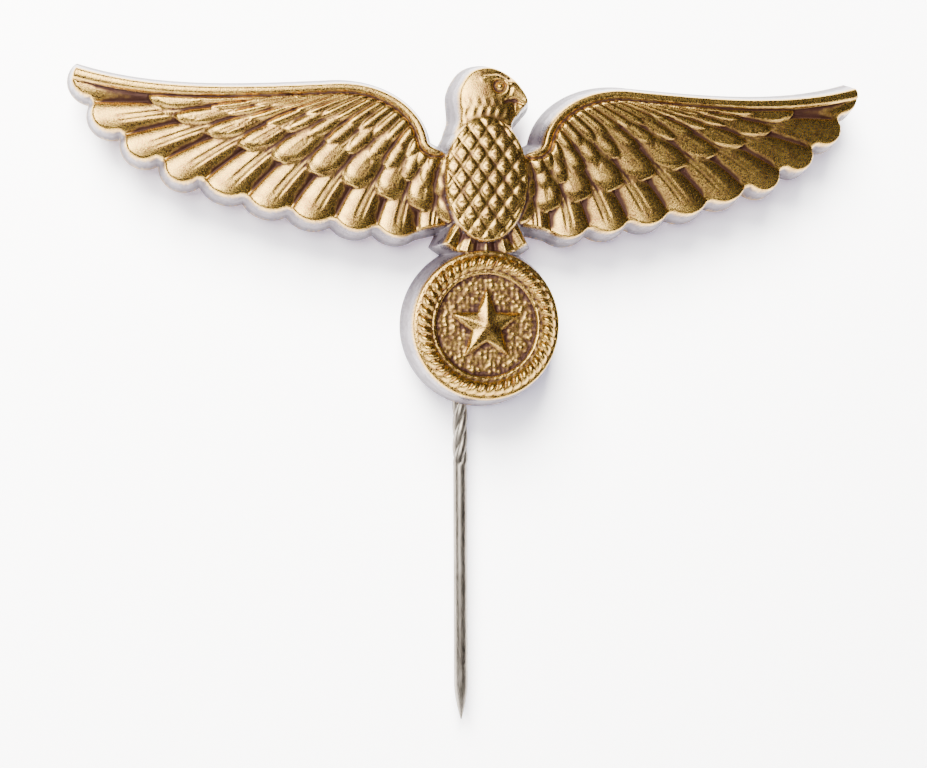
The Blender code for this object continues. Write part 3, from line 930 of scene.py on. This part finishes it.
def make_bead(solder):
    """The bead of solder between the disc's edge and the shell's wall."""
    inner = DISC_HIGH.x - 0.02
    outer = RING_HIGH.x + 0.16
    middle = (inner + outer) / 2
    start = -math.pi / 2 - BEAD_SWEEP / 2
    centre = (middle * MM, BEAD_Y * MM, 0.0)
    size = ((outer - inner) / 2, BEAD_HALF_HEIGHT, 1.0)
    add = bpy.ops.mesh.primitive_circle_add
    bead = start_piece("solder_bead", add, vertices=16, radius=MM, location=centre)
    bpy.ops.mesh.select_all(action="SELECT")
    bpy.ops.transform.resize(value=size, center_override=centre)
    bpy.ops.transform.rotate(value=start, orient_axis="Y", center_override=ORIGIN)
    bpy.ops.mesh.spin(steps=160, angle=BEAD_SWEEP, center=ORIGIN, axis=(0.0, 1.0, 0.0))
    bpy.ops.mesh.select_all(action="SELECT")
    bpy.ops.mesh.remove_doubles(threshold=0.002 * MM)
    bpy.ops.mesh.fill_holes(sides=0)
    finish_piece(bead, solder, "rim_solder", (0.7, 0.15))


def make_disc(brass):
    """The backing disc: a thin turned disc with a broken edge and a shallow step."""
    back = DISC_HIGH.y
    disc = start_piece(
        "backing_plate", bpy.ops.mesh.primitive_cylinder_add,
        vertices=128, radius=DISC_HIGH.x * MM, depth=(DISC_HIGH.y - DISC_LOW.y) * MM,
        rotation=(math.pi / 2, 0.0, 0.0), location=(0.0, (DISC_LOW.y + DISC_HIGH.y) / 2 * MM, 0.0),
    )
    pick(disc, lambda point: point.y > back - 0.001)
    bpy.ops.mesh.bevel(offset=0.07 * MM, segments=3, affect="EDGES")
    for width, depth in DISC_STEPS:
        pick_back(disc)
        bpy.ops.mesh.inset(thickness=width * MM, depth=depth * MM)
    finish_piece(disc, brass, "backing_disc")


def pick_back(disc):
    """Picks the disc's widest flat face that looks backwards."""
    mesh = bmesh.from_edit_mesh(disc.data)
    bpy.ops.mesh.select_all(action="DESELECT")
    flat = [face for face in mesh.faces if face.normal.y > 0.99]
    max(flat, key=lambda face: face.calc_area()).select_set(True)
    bmesh.update_edit_mesh(disc.data)


# Materials


def new_group(name, inputs, outputs):
    """A shader node group with named sockets; returns the group and its two end nodes."""
    group = bpy.data.node_groups.new(name, "ShaderNodeTree")
    for direction, sockets in (("INPUT", inputs), ("OUTPUT", outputs)):
        for label, kind in sockets:
            group.interface.new_socket(label, in_out=direction, socket_type="NodeSocket" + kind)
    return group, group.nodes.new("NodeGroupInput"), group.nodes.new("NodeGroupOutput")


def feed(tree, node, values):
    """Sets a node's inputs, by name or number, to other sockets, (r, g, b) or plain numbers."""
    for label, value in values.items():
        if isinstance(value, tuple):
            node.inputs[label].default_value = (*value, 1.0)
        elif isinstance(value, (int, float)):
            node.inputs[label].default_value = value
        else:
            tree.links.new(value, node.inputs[label])


def math_node(tree, operation, first, second, clamp=False):
    """A Math node fed by sockets or plain numbers; returns its output."""
    node = tree.nodes.new("ShaderNodeMath")
    node.operation = operation
    node.use_clamp = clamp
    feed(tree, node, {0: first, 1: second})
    return node.outputs[0]


def mix_colours(tree, share, first, second):
    """A colour mix; its two colours are the node's seventh and eighth inputs."""
    node = tree.nodes.new("ShaderNodeMix")
    node.data_type = "RGBA"
    feed(tree, node, {0: share, 6: first, 7: second})
    return node.outputs[2]


def times(tree, first, second):
    """The product of two sockets or plain numbers."""
    return math_node(tree, "MULTIPLY", first, second)


def noise_node(tree, vector, scale, detail, roughness):
    """A Noise Texture on the given coordinates; returns its number output."""
    node = tree.nodes.new("ShaderNodeTexNoise")
    values = {"Vector": vector, "Scale": scale, "Detail": detail, "Roughness": roughness}
    feed(tree, node, values)
    return node.outputs["Fac"]


def range_node(tree, value, low, high, out_low=0.0, out_high=1.0):
    """Maps a number from one range to another, clamped."""
    node = tree.nodes.new("ShaderNodeMapRange")
    node.interpolation_type = "SMOOTHSTEP"
    feed(tree, node, {"Value": value, "From Min": low, "From Max": high})
    feed(tree, node, {"To Min": out_low, "To Max": out_high})
    return node.outputs["Result"]


def build_grain_group():
    """Fine speckle of struck metal: a mask of bright and dark grains, and a height."""
    inputs = (("Vector", "Vector"), ("Scale", "Float"))
    outputs = (("Speckle", "Float"), ("Blotch", "Float"), ("Height", "Float"))
    group, start, end = new_group("metal_grain", inputs, outputs)
    where, scale = start.outputs["Vector"], start.outputs["Scale"]
    fine = noise_node(group, where, scale, 2.0, 0.7)
    wide = noise_node(group, where, times(group, scale, 0.12), 4.0, 0.6)
    speckle = range_node(group, fine, 0.44, 0.58)
    blotch = range_node(group, wide, 0.38, 0.64)
    both = math_node(group, "ADD", fine, times(group, wide, 0.6))
    feed(group, end, {"Speckle": speckle, "Blotch": blotch, "Height": both})
    return group


def build_patina_group():
    """Tarnish: bright metal on the high relief, brown and dark patina in the hollows."""
    colours = tuple((label, "Color") for label in ("Bright", "Tarnish", "Dark"))
    masks = tuple((label, "Float") for label in ("Hollow", "Crest", "Speckle", "Blotch"))
    outputs = (("Color", "Color"), ("Dirt", "Float"))
    group, start, end = new_group("patina", colours + masks, outputs)
    source = start.outputs
    speck = times(group, math_node(group, "SUBTRACT", 1.0, source["Speckle"]), 0.60)
    tarnish = math_node(group, "ADD", speck, times(group, source["Blotch"], 0.40), True)
    rubbed = times(group, source["Crest"], 0.35)
    tarnish = math_node(group, "SUBTRACT", tarnish, rubbed, True)
    face = mix_colours(group, tarnish, source["Bright"], source["Tarnish"])
    uneven = math_node(group, "ADD", source["Hollow"], times(group, source["Blotch"], 0.15))
    dirt = range_node(group, uneven, 0.08, 0.88)
    feed(group, end, {"Color": mix_colours(group, dirt, face, source["Dark"]), "Dirt": dirt})
    return group


def new_material(name):
    """An empty node material; returns it, its tree and its shader."""
    material = bpy.data.materials.new(name)
    material.use_nodes = True
    tree = material.node_tree
    return material, tree, tree.nodes["Principled BSDF"]


def place_group(tree, group, **values):
    """Adds a group node with its inputs set; returns its outputs."""
    node = tree.nodes.new("ShaderNodeGroup")
    node.node_tree = group
    feed(tree, node, values)
    return node.outputs


def attribute(tree, name):
    """A number stored on the piece's points."""
    node = tree.nodes.new("ShaderNodeAttribute")
    node.attribute_name = name
    return node.outputs["Fac"]


def object_coordinates(tree):
    """The piece's own coordinates, in metres."""
    return tree.nodes.new("ShaderNodeTexCoord").outputs["Object"]


def bump(tree, shader, height, strength, distance):
    """A fine bump on the shader's normal; distance is in millimetres."""
    node = tree.nodes.new("ShaderNodeBump")
    feed(tree, node, {"Strength": strength, "Distance": distance * MM, "Height": height})
    feed(tree, shader, {"Normal": node.outputs["Normal"]})


def aged_brass(grain, patina):
    """Struck brass, rubbed bright on the feathers and brown in the hollows."""
    material, tree, shader = new_material("aged_brass")
    where = object_coordinates(tree)
    texture = place_group(tree, grain, Vector=where, Scale=10500.0)
    blotch = texture["Blotch"]
    wall = attribute(tree, "wall")
    tone = place_group(
        tree, patina,
        Bright=(0.68, 0.43, 0.105), Tarnish=(0.27, 0.130, 0.048), Dark=(0.055, 0.018, 0.010),
        Hollow=attribute(tree, "hollow"), Crest=attribute(tree, "crest"),
        Speckle=texture["Speckle"], Blotch=blotch,
    )
    wall_tone = mix_colours(tree, blotch, (0.18, 0.150, 0.172), (0.12, 0.095, 0.110))
    # Painted shadow: the walls darken to near black over their last 0.4 to 1.1 mm before the back
    # rim, standing in for the contact shadow there.
    split = tree.nodes.new("ShaderNodeSeparateXYZ")
    feed(tree, split, {"Vector": where})
    painted_rim_shadow = range_node(tree, split.outputs["Y"], -1.1 * MM, -0.4 * MM)
    wall_tone = mix_colours(tree, painted_rim_shadow, wall_tone, (0.060, 0.045, 0.062))
    colour = mix_colours(tree, wall, tone["Color"], wall_tone)
    back_tone = mix_colours(tree, blotch, (0.34, 0.22, 0.10), (0.15, 0.09, 0.05))
    colour = mix_colours(tree, attribute(tree, "behind"), colour, back_tone)
    rough = math_node(tree, "ADD", 0.25, times(tree, tone["Dirt"], 0.25))
    rough = math_node(tree, "ADD", rough, times(tree, texture["Speckle"], 0.10))
    metal = math_node(tree, "SUBTRACT", 1.0, times(tree, tone["Dirt"], 0.45))
    metal = math_node(tree, "SUBTRACT", metal, times(tree, wall, 0.35), True)
    feed(tree, shader, {"Base Color": colour, "Roughness": rough, "Metallic": metal})
    bump(tree, shader, texture["Height"], 0.45, 0.04)
    return material


def plain_metal(name, grain, light, dark, roughness, scale, strength, upright=1.0, edge=0.0):
    """A plain metal: its grain is drawn out along Z by upright, and edge paints shade on it,
    darker where its surface turns away from the view.
    """
    material, tree, shader = new_material(name)
    where = tree.nodes.new("ShaderNodeMapping")
    where.inputs["Scale"].default_value = (1.0, 1.0, upright)
    feed(tree, where, {"Vector": object_coordinates(tree)})
    texture = place_group(tree, grain, Vector=where.outputs["Vector"], Scale=scale)
    turned = tree.nodes.new("ShaderNodeLayerWeight").outputs["Facing"]
    # Painted shade: the colour darkens towards the outline, where the surface turns away from the
    # view.
    painted_edge_shade = range_node(tree, turned, 0.30, 0.90, 0.0, edge)
    colour = mix_colours(tree, texture["Blotch"], light, dark)
    colour = mix_colours(tree, painted_edge_shade, colour, (0.05, 0.045, 0.04))
    rough = math_node(tree, "ADD", roughness, times(tree, texture["Speckle"], 0.12))
    feed(tree, shader, {"Base Color": colour, "Roughness": rough, "Metallic": 1.0})
    bump(tree, shader, texture["Height"], strength, 0.03)
    return material


def staging_material(name, colour, glow, one_sided):
    """A pale matt surface with a faint glow; one-sided, it is clear from behind and to light."""
    material, tree, shader = new_material(name)
    feed(tree, shader, {"Base Color": colour, "Roughness": 0.9})
    feed(tree, shader, {"Emission Color": (0.60, 0.54, 1.0), "Emission Strength": glow})
    if one_sided:
        clear = tree.nodes.new("ShaderNodeBsdfTransparent")
        mix = tree.nodes.new("ShaderNodeMixShader")
        side = tree.nodes.new("ShaderNodeNewGeometry").outputs["Backfacing"]
        to_light = tree.nodes.new("ShaderNodeLightPath").outputs["Is Shadow Ray"]
        hidden = math_node(tree, "MAXIMUM", side, to_light)
        feed(tree, mix, {0: hidden, 1: shader.outputs["BSDF"], 2: clear.outputs["BSDF"]})
        feed(tree, tree.nodes["Material Output"], {"Surface": mix.outputs["Shader"]})
    return material


# Stage, light and camera


def add_plane(name, corners, material):
    """One flat staging face through four corners, in metres."""
    mesh = bpy.data.meshes.new(name)
    mesh.from_pydata(corners, [], [(0, 1, 2, 3)])
    mesh.materials.append(material)
    plane = bpy.data.objects.new(name, mesh)
    bpy.context.scene.collection.objects.link(plane)
    return plane


def add_light(name, place, size, power, colour):
    """A soft area light aimed at the badge; lengths in metres."""
    data = bpy.data.lights.new(name, "AREA")
    data.size = size
    data.energy = power
    data.color = colour
    lamp = bpy.data.objects.new(name, data)
    lamp.location = place
    lamp.rotation_euler = (Vector(AIM) - Vector(place)).to_track_quat("-Z", "Y").to_euler()
    bpy.context.scene.collection.objects.link(lamp)
    return lamp


def build_stage():
    """A pale wall just behind the badge and a pale floor well below it."""
    pale = staging_material("pale_wall", (0.92, 0.92, 0.92), 0.5, True)
    ground = staging_material("pale_floor", (0.90, 0.90, 0.90), 0.0, False)
    back, low, front, half = (length * MM for length in (2.3, -150, -100, 400))
    wall = ((-half, back, low), (half, back, low), (half, back, half), (-half, back, half))
    floor = ((-half, front, low), (half, front, low), (half, half, low), (-half, half, low))
    behind = bpy.data.collections.new("behind")
    behind.objects.link(add_plane("backdrop", wall, pale))
    add_plane("floor", floor, ground)
    return behind


AIM = (0.0, -0.002, 0.004)
SKY_GLOW = 0.06
SKY_SEEN = 0.95


def build_light(behind):
    """A soft light from the left, a wash over the wall alone, a rear light and a dim sky."""
    add_light("key", (-0.115, -0.285, 0.070), 0.16, 2.1, (1.0, 0.98, 0.95))
    wash = add_light("wall_wash", (-0.10, -0.26, 0.28), 0.24, 22.0, (1.0, 0.98, 0.93))
    wash.light_linking.receiver_collection = behind
    add_light("rear", (0.14, 0.30, 0.20), 0.20, 1.2, (0.96, 0.96, 1.0))
    world = bpy.data.worlds.new("studio")
    world.use_nodes = True
    tree = world.node_tree
    seen = tree.nodes.new("ShaderNodeLightPath").outputs["Is Camera Ray"]
    glow = range_node(tree, seen, 0.0, 1.0, SKY_GLOW, SKY_SEEN)
    feed(tree, tree.nodes["Background"], {"Color": (0.92, 0.91, 1.0), "Strength": glow})
    bpy.context.scene.world = world


CAMERA_ANGLES = (math.radians(-10.15), math.radians(2.3))
CAMERA_ROLL = math.radians(-0.20)
CAMERA_DISTANCE = 115.0
CAMERA_TARGET = Vector((-1.69, -2.0, -4.70))
SENSOR = 36.0
LENS = 55.48738


def build_camera():
    """The camera, slightly to the badge's left, a little above it and close."""
    azimuth, elevation = CAMERA_ANGLES
    target = CAMERA_TARGET * MM
    level = Vector((-math.sin(azimuth), math.cos(azimuth), 0.0))
    ahead = level * math.cos(elevation) - Vector((0.0, 0.0, math.sin(elevation)))
    data = bpy.data.cameras.new("camera")
    data.sensor_width = SENSOR
    data.lens = LENS
    data.clip_start = 0.005
    data.clip_end = 10.0
    camera = bpy.data.objects.new("camera", data)
    camera.location = target - ahead * CAMERA_DISTANCE * MM
    turn = ahead.to_track_quat("-Z", "Y").to_matrix().to_4x4()
    roll = Matrix.Rotation(CAMERA_ROLL, 4, "Z")
    camera.matrix_world = Matrix.Translation(camera.location) @ turn @ roll
    bpy.context.scene.collection.objects.link(camera)
    bpy.context.scene.camera = camera


# Light and dark colours, roughness, grain scale and strength, and any stretch and painted shade on
# edges turned from view.
PLAIN_METALS = {
    "dull_brass": ((0.40, 0.28, 0.13), (0.24, 0.16, 0.08), 0.42, 3800.0, 0.3),
    "nickel_steel": ((0.33, 0.295, 0.25), (0.21, 0.185, 0.155), 0.34, 6000.0, 0.22, 0.35, 0.8),
    "solder": ((0.32, 0.32, 0.33), (0.19, 0.19, 0.195), 0.42, 3200.0, 0.7),
}


def build_badge():
    """Every piece of the badge, with its finish."""
    grain = build_grain_group()
    brass = aged_brass(grain, build_patina_group())
    metals = {name: plain_metal(name, grain, *values) for name, values in PLAIN_METALS.items()}
    make_shell(brass)
    make_disc(metals["dull_brass"])
    make_bead(metals["solder"])
    make_pin(metals["nickel_steel"])
    make_mound(metals["solder"])


build_badge()
build_light(build_stage())
build_camera()
